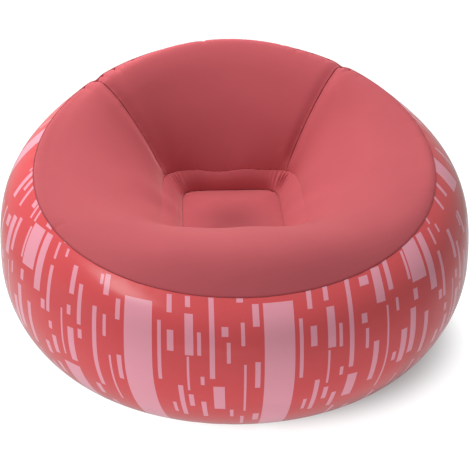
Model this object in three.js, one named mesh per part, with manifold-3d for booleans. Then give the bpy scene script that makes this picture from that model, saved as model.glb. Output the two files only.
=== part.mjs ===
// A round inflatable armchair, blown up for use: a flocked top that forms the arms, the front roll
// and the back, a printed gloss side wall, a sunken seat that inner ties hold down, the welds that
// join the sheets, and a screw-in air valve low on the back.
// Millimetres, +Z up. The sitter faces -Y, and the origin is the middle of the footprint on the floor.
import * as THREE from 'three';
import { mergeVertices } from 'three/addons/utils/BufferGeometryUtils.js';
import Module from 'manifold-3d';

const wasm = await Module();
wasm.setup();

// Outer form. A size with front, side and back values changes smoothly round the chair.
const footRadius = 368;
const bellyRadius = 560;
const bellyHeight = { front: 234, side: 270, back: 289 };
const rimRadius = { front: 463, side: 474, back: 463 };
const rimHeight = { front: 348, side: 476, back: 640 };
const crestRadius = { front: 340, side: 412, back: 430 };
const crestHeight = { front: 411, side: 462, back: 658 };
const crestRound = 36;

// The slope of the skin where it meets the rim weld, in degrees above level.
const wallSlopeAngles = { front: 25, side: 23, back: 42 };
const rollSlopeAngles = { front: 40, side: 21, back: 20 };

// Sunken seat: a rounded rectangle inside a band that spreads up and out to the well weld.
const wellCentre = 108;
const wellHalfWidth = 175;
const wellHalfLength = 191;
const wellHeight = 338;
const seatHalfWidth = 125;
const seatHalfLength = 175;
const seatHeight = 288;
const seatCrown = 20;
const bandPuff = 7;

// Where the back panel is welded to the arms, in degrees off the middle of the back.
const backWeldRightAngle = 39;
const backWeldLeftAngle = 46.5;

// Sheets and welds.
const glossSheet = 0.6;
const flockedSheet = 1;
const tieSheet = 0.6;
const weldThickness = 2;
const weldLip = 9;
const weldProud = 0.8;
const weldStop = 7;
const baseWeldRun = 32;
const tieFoot = 14;
const clearance = 0.3;

// Air valve.
const valveAzimuth = 158;
const valveHeight = 120;
const flangeRadius = 34;
const flangeThickness = 1.6;
const collarRadius = 17;
const collarBore = 14.2;
const collarProud = 5;
const collarDepth = 9;
const gasketThickness = 1.2;
const threadClearance = 0.3;
const coreBore = 9.6;
const coreRimRadius = 18.5;
const coreRimHeight = 3;
const coreLedge = 2;
const coreLedgeBore = 7;
const flapRadius = 8.6;
const flapThickness = 0.8;
const flapHinge = 10.4;
const lidRadius = 16.5;
const lidThickness = 2;
const plugTop = 9.2;
const plugTip = 7.8;
const plugLength = 9;
const plugWall = 1.4;
const strapHinge = 24;
const strapWidth = 9;
const strapThickness = 1.4;
const tabLength = 7;
const gripDepth = 0.7;
const cutOverrun = 5;

// Shares and counts that shape the curves and set how finely the sheets are divided.
const quarterArcShare = 0.552;
const bellyHandleShare = 0.45;
const wallHandleShares = { front: 0.42, side: 0.42, back: 0.3 };
const rollHandleShare = 0.4;
const innerCrestShares = { front: 0.47, side: 0.13, back: 0.04 };
const innerLeanShares = { front: 0.3, side: 0.24, back: 0.17 };
const innerDropShares = { front: 0.53, side: 0.6, back: 0.29 };
const creaseShare = 0.55;
const tieWaistShare = 0.22;
const flapSwingShare = 0.5;
const wellSquareness = 7;
const seatSquareness = 8;
const crownFullness = 2.6;
const roundSteps = 8;
const backColumns = 7;
const frontColumns = 46;
const roundSides = 48;
const gripCount = 24;
const patchReach = 2;

const flocked = new THREE.MeshStandardMaterial({ color: 0xd06468, roughness: 0.95, metalness: 0 });
const printed = new THREE.MeshStandardMaterial({ color: 0xcb5f5f, roughness: 0.22, metalness: 0 });
const plain = new THREE.MeshStandardMaterial({ color: 0xb94f52, roughness: 0.3, metalness: 0 });
const weldMaterial = new THREE.MeshStandardMaterial({ color: 0x8f2f38, roughness: 0.4, metalness: 0 });
const tieMaterial = new THREE.MeshStandardMaterial({ color: 0xe6dcd8, roughness: 0.5, metalness: 0 });
const valveMaterial = new THREE.MeshStandardMaterial({ color: 0xece9e4, roughness: 0.35, metalness: 0 });
const rubberMaterial = new THREE.MeshStandardMaterial({ color: 0x303030, roughness: 0.7, metalness: 0 });

const chair = new THREE.Group();
chair.name = 'inflatable_chair';

function addPiece(name, geometry, material, parent = chair) {
  const mesh = new THREE.Mesh(geometry, material);
  mesh.name = name;
  parent.add(mesh);
  return mesh;
}

// The azimuth is in degrees from the front, turning towards +X, so the back is at 180.
const FRONT = 0;
const RIGHT = 90;
const BACK = 180;
const LEFT = 270;
const TURN = 360;

function around(size, azimuth) {
  const angle = THREE.MathUtils.degToRad(azimuth);
  const even = (size.front + size.back) / 4;
  const swing = (size.front - size.back) / 2;
  return even + size.side / 2 + swing * Math.cos(angle) + (even - size.side / 2) * Math.cos(2 * angle);
}

function outwards(azimuth) {
  const angle = THREE.MathUtils.degToRad(azimuth);
  return new THREE.Vector3(Math.sin(angle), -Math.cos(angle), 0);
}

function ringPoint(azimuth, radius, height, centre = 0) {
  return outwards(azimuth).multiplyScalar(radius).add(new THREE.Vector3(0, centre, height));
}

function roundedRadius(azimuth, halfWidth, halfLength, squareness) {
  const out = outwards(azimuth);
  const across = Math.abs(out.x / halfWidth) ** squareness;
  const along = Math.abs(out.y / halfLength) ** squareness;
  return (across + along) ** (-1 / squareness);
}

function wellPoint(azimuth) {
  const radius = roundedRadius(azimuth, wellHalfWidth, wellHalfLength, wellSquareness);
  return ringPoint(azimuth, radius, wellHeight, wellCentre);
}

function seatPoint(azimuth) {
  const radius = roundedRadius(azimuth, seatHalfWidth, seatHalfLength, seatSquareness);
  return ringPoint(azimuth, radius, seatHeight, wellCentre);
}

function rimPoint(azimuth) {
  return ringPoint(azimuth, around(rimRadius, azimuth), around(rimHeight, azimuth));
}

function crestPoint(azimuth) {
  return ringPoint(azimuth, around(crestRadius, azimuth), around(crestHeight, azimuth));
}

// The direction in which the skin crosses the rim: inwards and up.
function crossing(azimuth, slope) {
  const angle = THREE.MathUtils.degToRad(around(slope, azimuth));
  const inwards = outwards(azimuth).multiplyScalar(-Math.cos(angle));
  return inwards.setZ(Math.sin(angle));
}

// Side wall, from the floor round the belly to the rim.
function wallCurve(azimuth) {
  const foot = ringPoint(azimuth, footRadius, 0);
  const belly = ringPoint(azimuth, bellyRadius, around(bellyHeight, azimuth));
  const rim = rimPoint(azimuth);
  const floorHandle = foot.clone().lerp(ringPoint(azimuth, bellyRadius, 0), quarterArcShare);
  const bellyBelow = belly.clone().lerp(ringPoint(azimuth, bellyRadius, 0), quarterArcShare);
  const span = belly.distanceTo(rim);
  const bellyAbove = belly.clone().add(new THREE.Vector3(0, 0, bellyHandleShare * span));
  const reach = around(wallHandleShares, azimuth) * span;
  const rimBelow = rim.clone().addScaledVector(crossing(azimuth, wallSlopeAngles), -reach);
  const path = new THREE.CurvePath();
  path.add(new THREE.CubicBezierCurve3(foot, floorHandle, bellyBelow, belly));
  path.add(new THREE.CubicBezierCurve3(belly, bellyAbove, rimBelow, rim));
  return path;
}

// A skin blown up by air holds no sharp crest, so each point is the mean of the section about it.
class RoundedCurve extends THREE.Curve {
  constructor(path) {
    super();
    this.path = path;
  }

  getPoint(share, target = new THREE.Vector3()) {
    const length = this.path.getLength();
    const distance = share * length;
    const reach = Math.min(crestRound, distance, length - distance);
    target.set(0, 0, 0);
    for (let step = 0; step < roundSteps; step += 1) {
      const offset = reach * ((2 * step + 1) / roundSteps - 1);
      target.add(this.path.getPoint((distance + offset) / length));
    }
    return target.divideScalar(roundSteps);
  }
}

// Flocked top, from the rim over the crest and down into the well.
function topCurve(azimuth) {
  const rim = rimPoint(azimuth);
  const crest = crestPoint(azimuth);
  const well = wellPoint(azimuth);
  const reach = rollHandleShare * rim.distanceTo(crest);
  const rimAbove = rim.clone().addScaledVector(crossing(azimuth, rollSlopeAngles), reach);
  const crestOutside = crest.clone().addScaledVector(outwards(azimuth), reach);
  const fall = well.clone().sub(crest);
  const level = fall.clone().setZ(0);
  const crestInside = crest.clone().addScaledVector(level, around(innerCrestShares, azimuth));
  const wellAbove = well.clone().addScaledVector(level, -around(innerLeanShares, azimuth));
  wellAbove.z -= around(innerDropShares, azimuth) * fall.z;
  const path = new THREE.CurvePath();
  path.add(new THREE.CubicBezierCurve3(rim, rimAbove, crestOutside, crest));
  path.add(new THREE.CubicBezierCurve3(crest, crestInside, wellAbove, well));
  return new RoundedCurve(path);
}

// Band between the well weld and the seat weld, a little puffed up by the air behind it.
function bandCurve(azimuth) {
  const well = wellPoint(azimuth);
  const seat = seatPoint(azimuth);
  const middle = well.clone().lerp(seat, 0.5);
  const puff = outwards(azimuth).multiplyScalar(-bandPuff).setZ(bandPuff);
  return new THREE.QuadraticBezierCurve3(well, middle.add(puff), seat);
}

// Points along a curve, from one length along it to so far short of its end.
function along(curve, from, short, rows) {
  const length = curve.getLength();
  const points = [];
  for (let row = 0; row <= rows; row += 1) {
    const run = from + (length - from - short) * (row / rows);
    points.push(curve.getPointAt(run / length));
  }
  return points;
}

function span(from, to, steps) {
  return Array.from({ length: steps }, (_, step) => from + (to - from) * (step / steps));
}

// Every sheet and weld that runs round the chair is divided at these azimuths.
const rightSeam = BACK - backWeldRightAngle;
const leftSeam = BACK + backWeldLeftAngle;
const armAzimuths = [...span(leftSeam, TURN + rightSeam, frontColumns), TURN + rightSeam];
const leftBack = span(BACK, leftSeam, backColumns);
const rightBack = span(rightSeam, BACK, backColumns);
const backAzimuths = [...rightBack, ...leftBack, leftSeam];
const rightBackAgain = rightBack.map((azimuth) => azimuth + TURN);
const ringAzimuths = [...leftBack, ...armAzimuths.slice(0, -1), ...rightBackAgain];
const wallAzimuths = [...ringAzimuths, BACK + TURN];

// The direction square to a seam, towards the column of points beside it.
function awayFrom(column, beside, row) {
  const last = column.length - 1;
  const rise = column[Math.min(row + 1, last)].clone().sub(column[Math.max(row - 1, 0)]).normalize();
  const step = beside[row].clone().sub(column[row]);
  return step.addScaledVector(rise, -step.dot(rise)).normalize();
}

// A sheet ends this far from a seam's middle line. The crease at a seam tips the sheets' inner
// faces towards the weld, so part of a sheet's thickness is added.
const weldRoom = weldThickness / 2 + clearance + creaseShare * flockedSheet;

// Moves the two end columns of a strip in from the seam line, to leave room for the weld.
function drawIn(columns, room = weldRoom) {
  const last = columns.length - 1;
  const moved = (end, next) => end.map((point, row) => (
    point.clone().addScaledVector(awayFrom(end, next, row), room)));
  return [moved(columns[0], columns[1]), ...columns.slice(1, last), moved(columns[last], columns[last - 1])];
}

// Surface normals of a grid of points. A row that is a single point takes its neighbours' mean.
function gridNormals(columns, looped) {
  const last = columns.length - 1;
  const rows = columns[0].length - 1;
  const pick = (index) => {
    if (looped) {
      return (index + columns.length) % columns.length;
    }
    return Math.min(Math.max(index, 0), last);
  };
  const normals = columns.map((column, i) => column.map((_, j) => {
    const turn = columns[pick(i + 1)][j].clone().sub(columns[pick(i - 1)][j]);
    const rise = column[Math.min(j + 1, rows)].clone().sub(column[Math.max(j - 1, 0)]);
    return turn.cross(rise).normalize();
  }));
  for (const [pole, near] of [[0, 1], [rows, rows - 1]]) {
    if (columns[0][pole].distanceTo(columns[1][pole]) < clearance / 100) {
      const mean = new THREE.Vector3();
      normals.forEach((column) => mean.add(column[near]));
      mean.normalize();
      normals.forEach((column) => column[pole].copy(mean));
    }
  }
  return normals;
}

// Joins vertices that share a place and drops the faces that this flattens.
function closedGeometry(points, faces) {
  const soup = new THREE.BufferGeometry();
  soup.setAttribute('position', new THREE.Float32BufferAttribute(points.flatMap((p) => p.toArray()), 3));
  soup.setIndex(faces.flat());
  const merged = mergeVertices(soup, clearance / 1000);
  const index = merged.index.array;
  const kept = [];
  for (let corner = 0; corner < index.length; corner += 3) {
    const [a, b, c] = index.slice(corner, corner + 3);
    if (a !== b && b !== c && c !== a) {
      kept.push(a, b, c);
    }
  }
  merged.setIndex(kept);
  merged.computeVertexNormals();
  return merged;
}

// A thin sheet: the grid is its outer face, from one depth under it to another. Both faces are split
// along the same diagonals, so that the sheet keeps its thickness where it twists.
function sheet(columns, looped, thickness, depth = 0) {
  const normals = gridNormals(columns, looped);
  const rows = columns[0].length;
  const count = columns.length;
  const points = [];
  for (const under of [depth, depth + thickness]) {
    columns.forEach((column, i) => column.forEach((point, j) => {
      points.push(point.clone().addScaledVector(normals[i][j], -under));
    }));
  }
  const outer = (i, j) => (i % count) * rows + j;
  const inner = (i, j) => count * rows + outer(i, j);
  const faces = [];
  const quad = (a, b, c, d) => faces.push([a, b, c], [a, c, d]);
  const steps = looped ? count : count - 1;
  for (let i = 0; i < steps; i += 1) {
    for (let j = 0; j < rows - 1; j += 1) {
      quad(outer(i, j), outer(i + 1, j), outer(i + 1, j + 1), outer(i, j + 1));
      quad(inner(i, j), inner(i, j + 1), inner(i + 1, j + 1), inner(i + 1, j));
    }
    quad(inner(i, 0), inner(i + 1, 0), outer(i + 1, 0), outer(i, 0));
    quad(outer(i, rows - 1), outer(i + 1, rows - 1), inner(i + 1, rows - 1), inner(i, rows - 1));
  }
  if (!looped) {
    for (let j = 0; j < rows - 1; j += 1) {
      quad(inner(0, j), outer(0, j), outer(0, j + 1), inner(0, j + 1));
      quad(outer(steps, j), inner(steps, j), inner(steps, j + 1), outer(steps, j + 1));
    }
  }
  return closedGeometry(points, faces);
}

// A weld: the two lips fused together stand inside the seam, and a low bead shows outside.
function weld(stations, looped) {
  const half = weldThickness / 2;
  const profile = [[-half, -weldLip], [half, -weldLip], [half, 0], [0, weldProud], [-half, 0]];
  const sides = profile.length;
  const count = stations.length;
  const points = stations.flatMap(({ point, normal, across }) => profile.map(([side, out]) => (
    point.clone().addScaledVector(across, side).addScaledVector(normal, out))));
  const at = (i, k) => (i % count) * sides + (k % sides);
  const faces = [];
  for (let i = 0; i < (looped ? count : count - 1); i += 1) {
    for (let k = 0; k < sides; k += 1) {
      faces.push([at(i, k), at(i + 1, k + 1), at(i + 1, k)], [at(i, k), at(i, k + 1), at(i + 1, k + 1)]);
    }
  }
  if (!looped) {
    const end = count - 1;
    for (let k = 1; k < sides - 1; k += 1) {
      faces.push([at(0, 0), at(0, k + 1), at(0, k)], [at(end, 0), at(end, k), at(end, k + 1)]);
    }
  }
  return closedGeometry(points, faces);
}

// Stations for a weld that runs round the chair, square to the mean slope of its two sheets.
function ringStations(place) {
  return ringAzimuths.map((azimuth) => {
    const { point, before, after } = place(azimuth);
    const across = after.clone().sub(before).normalize();
    const turn = outwards(azimuth + RIGHT);
    const normal = turn.clone().cross(across).normalize();
    return { point, normal, across };
  });
}

// Stations for a weld that runs up a seam, which stops short of the welds that it meets.
function seamStations(column, beside, short) {
  const last = column.length - 1;
  return column.map((place, row) => {
    const across = awayFrom(column, beside, row);
    const rise = column[Math.min(row + 1, last)].clone().sub(column[Math.max(row - 1, 0)]);
    const normal = rise.cross(across).normalize();
    const point = place.clone();
    if (row === 0 || row === last) {
      const inner = column[row === 0 ? 1 : last - 1];
      point.addScaledVector(inner.clone().sub(point).normalize(), short);
    }
    return { point, normal, across };
  });
}

// Solid operations for the rigid valve pieces.
function solid(geometry) {
  const bare = geometry.index ? geometry.toNonIndexed() : geometry.clone();
  bare.deleteAttribute('normal');
  bare.deleteAttribute('uv');
  const merged = mergeVertices(bare, clearance / 1000);
  const vertProperties = new Float32Array(merged.attributes.position.array);
  const triVerts = new Uint32Array(merged.index.array);
  return new wasm.Manifold(new wasm.Mesh({ numProp: 3, vertProperties, triVerts }));
}

function geometryOf(manifold) {
  const mesh = manifold.getMesh();
  const geometry = new THREE.BufferGeometry();
  geometry.setAttribute('position', new THREE.BufferAttribute(mesh.vertProperties, 3));
  geometry.setIndex(new THREE.BufferAttribute(mesh.triVerts, 1));
  geometry.computeVertexNormals();
  return geometry;
}

// A solid turned about +Z from a closed outline of [radius, height] pairs.
function turned(outline) {
  const closed = [...outline, outline[0]].map(([radius, height]) => new THREE.Vector2(radius, height));
  return solid(new THREE.LatheGeometry(closed, roundSides).rotateX(Math.PI / 2));
}

const disc = (radius, low, high) => turned([[0, low], [radius, low], [radius, high], [0, high]]);

function block(from, to) {
  const low = new THREE.Vector3(...from);
  const high = new THREE.Vector3(...to);
  const size = high.clone().sub(low);
  const box = new THREE.BoxGeometry(size.x, size.y, size.z);
  return solid(box.translate(...low.lerp(high, 0.5).toArray()));
}

// Base: a flat disc that turns up a little before the base weld.
const baseRows = 2;
const turnUpRows = 2;
const baseColumns = ringAzimuths.map((azimuth) => {
  const centre = new THREE.Vector3();
  const foot = ringPoint(azimuth, footRadius, 0);
  const flat = Array.from({ length: baseRows }, (_, row) => centre.clone().lerp(foot, row / baseRows));
  const curve = wallCurve(azimuth);
  return [...flat, ...along(curve, 0, curve.getLength() - baseWeldRun + weldRoom, turnUpRows)];
});
addPiece('base_panel', sheet(baseColumns, true, glossSheet), plain);

// Side wall: one printed strip whose ends meet in a weld at the middle of the back.
const wallRows = 9;
const wallColumn = (azimuth) => along(wallCurve(azimuth), baseWeldRun + weldRoom, weldRoom, wallRows);
const wallColumns = drawIn(wallAzimuths.map(wallColumn));
const wallGeometry = sheet(wallColumns, false, glossSheet);

// Flocked top: the arms and the front roll are one sheet, and the back is another.
const topRows = 12;
const topColumn = (azimuth) => along(topCurve(azimuth), weldRoom, weldRoom, topRows);
addPiece('arm_wrap_panel', sheet(drawIn(armAzimuths.map(topColumn)), false, flockedSheet), flocked);
addPiece('back_panel', sheet(drawIn(backAzimuths.map(topColumn)), false, flockedSheet), flocked);

// Band round the seat, and the seat panel with its crown.
const bandRows = 3;
const bandColumns = ringAzimuths.map((azimuth) => along(bandCurve(azimuth), weldRoom, weldRoom, bandRows));
addPiece('seat_band', sheet(bandColumns, true, flockedSheet), flocked);

const seatMiddle = new THREE.Vector3(0, wellCentre, seatHeight);
const seatRowShares = [0, 0.06, 0.16, 0.36, 0.66, 1];
function seatColumn(azimuth) {
  const edge = seatPoint(azimuth);
  const reach = edge.distanceTo(seatMiddle);
  return seatRowShares.map((share) => {
    const point = edge.clone().lerp(seatMiddle, share + (1 - share) * (weldRoom / reach));
    point.z += seatCrown * (1 - (1 - share) ** crownFullness);
    return point;
  });
}
addPiece('seat_panel', sheet(ringAzimuths.map(seatColumn), true, flockedSheet), flocked);

// Welds round the base, the rim, the well and the seat, up the back's two sides and up the wall.
const probe = weldThickness;
addPiece('base_weld', weld(ringStations((azimuth) => {
  const curve = wallCurve(azimuth);
  const length = curve.getLength();
  return {
    point: curve.getPointAt(baseWeldRun / length),
    before: curve.getPointAt((baseWeldRun - probe) / length),
    after: curve.getPointAt((baseWeldRun + probe) / length),
  };
}), true), weldMaterial);

function seamBetween(first, second) {
  return {
    point: first.getPointAt(1),
    before: first.getPointAt(1 - probe / first.getLength()),
    after: second.getPointAt(probe / second.getLength()),
  };
}
addPiece('rim_weld', weld(ringStations((azimuth) => (
  seamBetween(wallCurve(azimuth), topCurve(azimuth)))), true), weldMaterial);
addPiece('well_weld', weld(ringStations((azimuth) => (
  seamBetween(topCurve(azimuth), bandCurve(azimuth)))), true), weldMaterial);
addPiece('seat_weld', weld(ringStations((azimuth) => {
  const point = seatPoint(azimuth);
  const inwards = outwards(azimuth).negate();
  return { point, before: point, after: point.clone().add(inwards) };
}), true), weldMaterial);

// The columns beside a seam on the side that azimuths grow away from, so the bead faces out.
const seamBesideAngle = 1;
addPiece('back_weld_left', weld(
  seamStations(topColumn(leftSeam), topColumn(leftSeam - seamBesideAngle), weldStop), false), weldMaterial);
addPiece('back_weld_right', weld(
  seamStations(topColumn(rightSeam), topColumn(rightSeam - seamBesideAngle), weldStop), false), weldMaterial);
addPiece('wall_join_weld', weld(
  seamStations(wallColumn(BACK), wallColumn(BACK - seamBesideAngle), weldStop), false), weldMaterial);

// Ties: curtains that hang from the seat weld's lips and are welded to the base by an outturned foot.
const tieRows = 4;
const cornerRight = THREE.MathUtils.radToDeg(Math.atan2(seatHalfWidth, seatHalfLength));
const tieTop = seatHeight - weldLip - clearance;
const tieBottom = glossSheet + clearance;
function tieGeometry(middle, halfAngle) {
  const centre = middle < leftSeam ? middle + TURN : middle;
  const near = ringAzimuths.filter((azimuth) => Math.abs(azimuth - centre) < halfAngle);
  const wrapped = ringAzimuths.filter((azimuth) => Math.abs(azimuth + TURN - centre) < halfAngle);
  const azimuths = [...near, ...wrapped.map((azimuth) => azimuth + TURN)];
  const columns = azimuths.map((azimuth) => {
    const column = [];
    for (let row = 0; row <= tieRows; row += 1) {
      const share = row / tieRows;
      const drawn = centre + (azimuth - centre) * (1 - tieWaistShare * Math.sin(Math.PI * share));
      column.push(seatPoint(drawn).setZ(tieTop + (tieBottom - tieTop) * share));
    }
    const foot = column[tieRows].clone().addScaledVector(outwards(azimuth), tieFoot);
    return [...column, foot];
  });
  return sheet(columns, false, tieSheet);
}
const cornerAllowanceAngle = 5;
const endHalfAngle = cornerRight - cornerAllowanceAngle;
const sideHalfAngle = RIGHT - cornerRight - cornerAllowanceAngle;
addPiece('seat_tie_front', tieGeometry(FRONT, endHalfAngle), tieMaterial);
addPiece('seat_tie_right', tieGeometry(RIGHT, sideHalfAngle), tieMaterial);
addPiece('seat_tie_back', tieGeometry(BACK, endHalfAngle), tieMaterial);
addPiece('seat_tie_left', tieGeometry(LEFT, sideHalfAngle), tieMaterial);

// Air valve. Its own frame has +Z out of the wall and its origin on the wall's outer face.
function nearest(values, wanted) {
  return values.reduce((best, value, index) => (
    Math.abs(value - wanted) < Math.abs(values[best] - wanted) ? index : best), 0);
}
const valveColumn = nearest(wallAzimuths, valveAzimuth + TURN);
const valveRow = nearest(wallColumns[valveColumn].map((point) => point.z), valveHeight);
const wallNormals = gridNormals(wallColumns, false);
const valve = new THREE.Group();
valve.name = 'air_valve';
valve.position.copy(wallColumns[valveColumn][valveRow]);
const valveOut = wallNormals[valveColumn][valveRow];
const valveSide = new THREE.Vector3(0, 0, 1).cross(valveOut).normalize();
const valveUp = valveOut.clone().cross(valveSide);
valve.quaternion.setFromRotationMatrix(new THREE.Matrix4().makeBasis(valveSide, valveUp, valveOut));
valve.updateMatrix();
chair.add(valve);
const intoValve = valve.matrix.clone().invert();

// The hole in the wall, cut where the collar passes through.
// It is turned a quarter of a side, so that its corners stay off the edges of the sheet's facets.
const hole = disc(collarRadius + clearance, -collarDepth - cutOverrun, collarProud + cutOverrun);
const holeTurn = TURN / roundSides / 4;
const wallHole = hole.rotate([0, 0, holeTurn]).transform(valve.matrix.toArray());
addPiece('side_wall', geometryOf(solid(wallGeometry).subtract(wallHole)), printed);

// The soft flange lies against the inside of the wall, and its collar stands out through the hole.
const patchSlice = (list, middle) => list.slice(Math.max(middle - patchReach, 0), middle + patchReach + 1);
const patchColumns = patchSlice(wallColumns, valveColumn).map((column) => patchSlice(column, valveRow));
const patch = sheet(patchColumns, false, flangeThickness, glossSheet + clearance);
const flangeReach = disc(flangeRadius, -flangeRadius, flangeRadius);
const flangeSkin = solid(patch.applyMatrix4(intoValve)).intersect(flangeReach);
const collarMiddle = (collarRadius + collarBore) / 2;
const collar = turned([
  [collarBore, -collarDepth], [collarRadius, -collarDepth],
  [collarRadius, collarProud], [collarBore, collarProud],
]);
const throat = disc(collarMiddle, -flangeRadius, flangeRadius);
addPiece('valve_flange', geometryOf(flangeSkin.subtract(throat).add(collar)), valveMaterial, valve);

// The gasket between the collar and the rim of the screw-in core.
const gasketBottom = collarProud + clearance;
const gasketTop = gasketBottom + gasketThickness;
const barrelRadius = collarBore - threadClearance;
const gasket = turned([
  [collarBore + clearance, gasketBottom], [collarRadius - clearance, gasketBottom],
  [collarRadius - clearance, gasketTop], [collarBore + clearance, gasketTop],
]);
addPiece('valve_gasket', geometryOf(gasket), rubberMaterial, valve);

// The core: a threaded barrel with a ledge for the flap, a gripped rim and an ear for the cap's strap.
const coreRimBottom = gasketTop + clearance;
const coreTop = coreRimBottom + coreRimHeight;
const barrelBottom = -collarDepth;
const ledgeTop = barrelBottom + coreLedge;
const coreBody = turned([
  [coreLedgeBore, barrelBottom], [barrelRadius, barrelBottom], [barrelRadius, coreRimBottom],
  [coreRimRadius, coreRimBottom], [coreRimRadius, coreTop], [coreBore, coreTop],
  [coreBore, ledgeTop], [coreLedgeBore, ledgeTop],
]);
const ear = block(
  [barrelRadius + gripDepth, -strapWidth / 2, coreRimBottom],
  [strapHinge - clearance, strapWidth / 2, coreTop],
);
const earHalfAngle = THREE.MathUtils.radToDeg(Math.atan2(strapWidth, coreRimRadius));
let core = coreBody.add(ear);
for (let grip = 0; grip < gripCount; grip += 1) {
  const turn = (grip + 0.5) * (TURN / gripCount);
  const notch = block(
    [coreRimRadius - gripDepth, -gripDepth, coreRimBottom - cutOverrun],
    [coreRimRadius + gripDepth, gripDepth, coreTop + cutOverrun],
  ).rotate([0, 0, turn]);
  const clearOfEar = Math.min(turn, TURN - turn) > earHalfAngle;
  core = clearOfEar ? core.subtract(notch) : core;
}
addPiece('valve_core', geometryOf(core), valveMaterial, valve);

// The flap that closes the ledge from inside and swings on one edge.
const flapTop = barrelBottom - clearance;
const flap = disc(flapRadius, flapTop - flapThickness, flapTop).add(block(
  [0, -flapRadius * flapSwingShare, flapTop - flapThickness],
  [flapHinge, flapRadius * flapSwingShare, flapTop],
));
addPiece('check_flap', geometryOf(flap), rubberMaterial, valve);

// The cap: a lid with a tapered plug, a strap to the ear and a tab to pull it open by.
const lidBottom = coreTop + clearance;
const lidTop = lidBottom + lidThickness;
const lidEdge = lidThickness / 2;
const plugBottom = lidBottom - plugLength;
const cap = turned([
  [0, lidBottom], [0, plugBottom + plugWall], [plugTip - plugWall, plugBottom + plugWall],
  [plugTip - plugWall, plugBottom], [plugTip, plugBottom], [plugTop, lidBottom],
  [lidRadius, lidBottom], [lidRadius, lidTop - lidEdge], [lidRadius - lidEdge, lidTop], [0, lidTop],
]);
const strap = block(
  [lidRadius - lidThickness, -strapWidth / 2, lidBottom],
  [strapHinge - 2 * clearance, strapWidth / 2, lidBottom + strapThickness],
);
const tab = block(
  [-lidRadius - tabLength, -strapWidth / 2, lidBottom],
  [-lidRadius + lidThickness, strapWidth / 2, lidBottom + strapThickness],
);
addPiece('valve_cap', geometryOf(cap.add(strap).add(tab)), valveMaterial, valve);

export default chair;
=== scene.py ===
# %% [markdown]
# # A round inflatable armchair
# The chair is one air cell made of welded PVC sheets: a flocked top, a printed gloss wall round the
# outside, a sunken seat and a flat base. Blown up, each sheet swells between its welds, so the whole
# look of the chair is in three things: the swelling, the small puckers beside the welds, and the
# contrast of matt flock with wet-looking gloss. This lesson makes them in that order.
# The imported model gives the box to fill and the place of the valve. Everything here is in metres in
# the same frame: +Z is up, and the sitter faces -Y. Angles are in degrees.

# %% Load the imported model
import math
from collections import namedtuple

import bmesh
import bpy
import numpy as np
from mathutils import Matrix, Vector


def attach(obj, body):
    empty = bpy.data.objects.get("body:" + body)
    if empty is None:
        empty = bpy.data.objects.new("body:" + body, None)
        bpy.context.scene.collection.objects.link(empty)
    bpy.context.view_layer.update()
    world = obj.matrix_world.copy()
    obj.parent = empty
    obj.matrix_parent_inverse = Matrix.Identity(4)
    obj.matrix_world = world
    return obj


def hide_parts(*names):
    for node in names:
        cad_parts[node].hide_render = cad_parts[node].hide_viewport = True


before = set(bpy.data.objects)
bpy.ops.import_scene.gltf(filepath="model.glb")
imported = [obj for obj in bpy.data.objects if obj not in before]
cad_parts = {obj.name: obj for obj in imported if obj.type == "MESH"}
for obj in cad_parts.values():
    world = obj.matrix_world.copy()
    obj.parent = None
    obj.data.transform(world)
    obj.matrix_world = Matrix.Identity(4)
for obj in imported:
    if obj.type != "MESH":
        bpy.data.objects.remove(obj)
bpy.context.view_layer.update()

# %% [markdown]
# ## Sizes
# A size that changes round the chair has three values, for the front, the side and the back, and a
# cosine series runs smoothly through them. The same few sizes drive every sheet, so that
# neighbours always meet in their weld. A share is a part of the distance that its curve covers: the
# larger the share, the fuller the curve.

# %% Driving sizes
Around = namedtuple("Around", "front side back")

BACK = 180
RIGHT_SEAM = BACK - 39
LEFT_SEAM = BACK + 46.5

FOOT_RADIUS = 0.368
BELLY_RADIUS = 0.560
BELLY_HEIGHT = Around(0.234, 0.270, 0.289)
RIM_RADIUS = Around(0.463, 0.474, 0.463)
RIM_HEIGHT = Around(0.348, 0.476, 0.640)
CREST_RADIUS = Around(0.340, 0.412, 0.430)
CREST_HEIGHT = Around(0.411, 0.462, 0.658)
CREST_ROUND = Around(0.036, 0.036, 0.095)
WALL_SLOPE = Around(25, 23, 42)
ROLL_SLOPE = Around(40, 21, 20)
WELL_CENTRE = 0.108
WELL_HALF = (0.175, 0.191)
WELL_HEIGHT = 0.338
WELL_SQUARENESS = 7
SEAT_HALF = (0.125, 0.175)
SEAT_HEIGHT = 0.288
SEAT_SQUARENESS = 8
SEAT_CROWN = 0.022
SEAT_DIP = 0.013
DIP_CENTRE = 0.060
DIP_REACH = 0.072
BAND_PUFF = 0.007
BASE_WELD_RUN = 0.042

FOOT_HANDLE_SHARES = Around(0.42, 0.42, 0.552)
BELLY_LOW_SHARES = Around(0.53, 0.53, 0.552)
BELLY_HANDLE_SHARE = 0.45
WALL_HANDLE_SHARES = Around(0.42, 0.42, 0.30)
ROLL_HANDLE_SHARE = 0.4
INNER_CREST_SHARES = Around(0.47, 0.13, 0.04)
INNER_LEAN_SHARES = Around(0.30, 0.24, 0.17)
INNER_DROP_SHARES = Around(0.53, 0.60, 0.29)
CROWN_FULLNESS = 2.1


def around(size, azimuth):
    """A size at an azimuth, in degrees from the front and turning towards +X."""
    angle = math.radians(azimuth)
    even = (size.front + size.back) / 4
    swing = (size.front - size.back) / 2
    return even + size.side / 2 + swing * math.cos(angle) + (even - size.side / 2) * math.cos(2 * angle)


print("rim height at the front, side and back", [round(around(RIM_HEIGHT, a), 3) for a in (0, 90, BACK)])

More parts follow.
